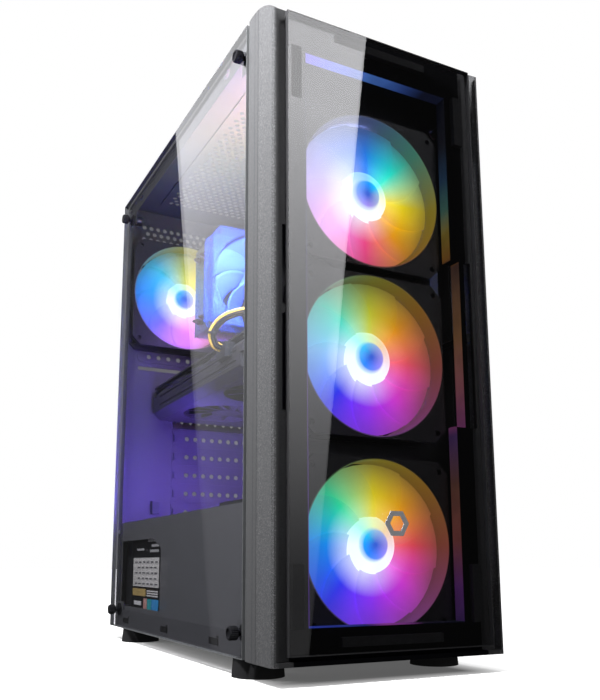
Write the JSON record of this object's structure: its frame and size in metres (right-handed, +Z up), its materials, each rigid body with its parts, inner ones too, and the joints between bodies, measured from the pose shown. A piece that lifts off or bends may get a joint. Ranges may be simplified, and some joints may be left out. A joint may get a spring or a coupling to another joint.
{
  "type": "desktop computer tower",
  "caption": "Black computer tower with a glass front and glass side window, lit case fans, steel chassis, motherboard, tower cooler, graphics card and shrouded power supply.",
  "frame": {"origin": "middle of the bounding box in X and Y, on the floor that the rubber feet stand on", "axes": "+Z up, -Y out of the glass front, -X out of the side window"},
  "size_m": [0.1886, 0.388, 0.475],
  "materials": {
    "case_steel": "satin black powder coat",
    "black_plastic": "fine matt grain",
    "bezel_plastic": "satin dark grey with a fine sparkle",
    "dark_glass": "polished, grey tint",
    "black_rubber": "matt",
    "fan_frame_plastic": "satin black",
    "fan_blade_plastic": "frosted, translucent, lit from the hub",
    "bright_metal": "fine brushed",
    "screw_steel": "black oxide",
    "aluminium_fins": "bright rolled",
    "pipe_metal": "bright plated copper",
    "circuit_board": "satin black solder mask",
    "brass_standoff": "turned",
    "clear_fan_plastic": "translucent, lit blue",
    "badge_metal": "satin",
    "cable_sleeve": "woven black sleeve"
  },
  "bodies": {
    "case": {"bottom_pan": "case_steel", "rear_panel": "case_steel", "top_panel": "case_steel", "front_plate": "case_steel", "motherboard_tray": "case_steel", "psu_shroud": "case_steel", "slot_covers": "case_steel", "power_supply": "case_steel", "io_module": "black_plastic", "audio_jacks": "black_plastic", "power_inlet": "black_plastic", "board_slots": "black_plastic", "board_sockets": "black_plastic", "solid_state_drive": "black_plastic", "graphics_shroud": "black_plastic", "graphics_backplate": "black_plastic", "memory_modules": "black_plastic", "case_feet": "black_rubber", "front_fan_frame_low": "fan_frame_plastic", "front_fan_frame_middle": "fan_frame_plastic", "front_fan_frame_high": "fan_frame_plastic", "rear_fan_frame": "fan_frame_plastic", "window_studs": "bright_metal", "io_shield": "bright_metal", "usb_ports": "bright_metal", "board_ports": "bright_metal", "graphics_bracket": "bright_metal", "fan_screws": "screw_steel", "board_heatsinks": "aluminium_fins", "cooler_fins": "aluminium_fins", "cooler_base": "aluminium_fins", "graphics_heatsink": "aluminium_fins", "cooler_heat_pipes": "pipe_metal", "motherboard": "circuit_board", "graphics_board": "circuit_board", "board_standoffs": "brass_standoff", "cooler_fan_frame": "clear_fan_plastic", "graphics_cable": "cable_sleeve", "board_cable": "cable_sleeve"},
    "side_window": {"side_window": "dark_glass", "window_washers": "black_rubber"},
    "window_screws": {"window_thumbscrews": "screw_steel"},
    "right_panel": {"right_side_panel": "case_steel", "panel_thumbscrews": "screw_steel"},
    "front_panel": {"front_bezel": "bezel_plastic", "front_glass": "dark_glass", "front_glass_pads": "black_rubber", "glass_badge": "badge_metal"},
    "filter": {"dust_filter": "black_plastic"},
    "power_button": {"power_button": "bright_metal"},
    "reset_button": {"reset_button": "bright_metal"},
    "power_switch": {"power_switch": "black_plastic"},
    "front_rotor_low": {"front_fan_rotor_low": "fan_blade_plastic"},
    "front_rotor_middle": {"front_fan_rotor_middle": "fan_blade_plastic"},
    "front_rotor_high": {"front_fan_rotor_high": "fan_blade_plastic"},
    "rear_rotor": {"rear_fan_rotor": "fan_blade_plastic"},
    "cooler_rotor": {"cooler_fan_rotor": "clear_fan_plastic"},
    "card_rotor_front": {"graphics_fan_front": "fan_frame_plastic"},
    "card_rotor_rear": {"graphics_fan_rear": "fan_frame_plastic"},
    "supply_rotor": {"power_supply_fan": "fan_frame_plastic"}
  },
  "joints": [
    {"name": "side_window_off", "type": "slide", "parent": "case", "child": "side_window", "axis": [-1, 0, 0], "range_m": [0, 0.12]},
    {"name": "window_screws_out", "type": "slide", "parent": "side_window", "child": "window_screws", "axis": [-1, 0, 0], "range_m": [0, 0.014]},
    {"name": "right_panel_back", "type": "slide", "parent": "case", "child": "right_panel", "axis": [0, 1, 0], "range_m": [0, 0.018]},
    {"name": "front_panel_off", "type": "slide", "parent": "case", "child": "front_panel", "axis": [0, -1, 0], "range_m": [0, 0.06]},
    {"name": "filter_out", "type": "slide", "parent": "case", "child": "filter", "axis": [0, 1, 0], "range_m": [0, 0.14]},
    {"name": "power_button_press", "type": "slide", "parent": "case", "child": "power_button", "axis": [0, 0, -1], "range_m": [0, 0.0015], "stiffness_N_per_m": 400},
    {"name": "reset_button_press", "type": "slide", "parent": "case", "child": "reset_button", "axis": [0, 0, -1], "range_m": [0, 0.0015], "stiffness_N_per_m": 400},
    {"name": "power_switch_rock", "type": "hinge", "parent": "case", "child": "power_switch", "pos_m": [-0.01205, 0.18355, 0.0582], "axis": [1, 0, 0], "range_deg": [-14, 0]},
    {"name": "front_fan_low_spin", "type": "hinge", "parent": "case", "child": "front_rotor_low", "pos_m": [0.00325, -0.16195, 0.087], "axis": [0, 1, 0], "continuous": true},
    {"name": "front_fan_middle_spin", "type": "hinge", "parent": "case", "child": "front_rotor_middle", "pos_m": [0.00325, -0.16195, 0.221], "axis": [0, 1, 0], "continuous": true},
    {"name": "front_fan_high_spin", "type": "hinge", "parent": "case", "child": "front_rotor_high", "pos_m": [0.00325, -0.16195, 0.347], "axis": [0, 1, 0], "continuous": true},
    {"name": "rear_fan_spin", "type": "hinge", "parent": "case", "child": "rear_rotor", "pos_m": [-0.02115, 0.17525, 0.367], "axis": [0, 1, 0], "continuous": true},
    {"name": "cooler_fan_spin", "type": "hinge", "parent": "case", "child": "cooler_rotor", "pos_m": [0.00165, 0.03005, 0.342], "axis": [0, 1, 0], "continuous": true},
    {"name": "card_fan_front_spin", "type": "hinge", "parent": "case", "child": "card_rotor_front", "pos_m": [0.00665, 0.00275, 0.234], "axis": [0, 0, 1], "continuous": true},
    {"name": "card_fan_rear_spin", "type": "hinge", "parent": "case", "child": "card_rotor_rear", "pos_m": [0.00665, 0.11075, 0.234], "axis": [0, 0, 1], "continuous": true},
    {"name": "supply_fan_spin", "type": "hinge", "parent": "case", "child": "supply_rotor", "pos_m": [0.00295, 0.11375, 0.0292], "axis": [0, 0, 1], "continuous": true}
  ]
}
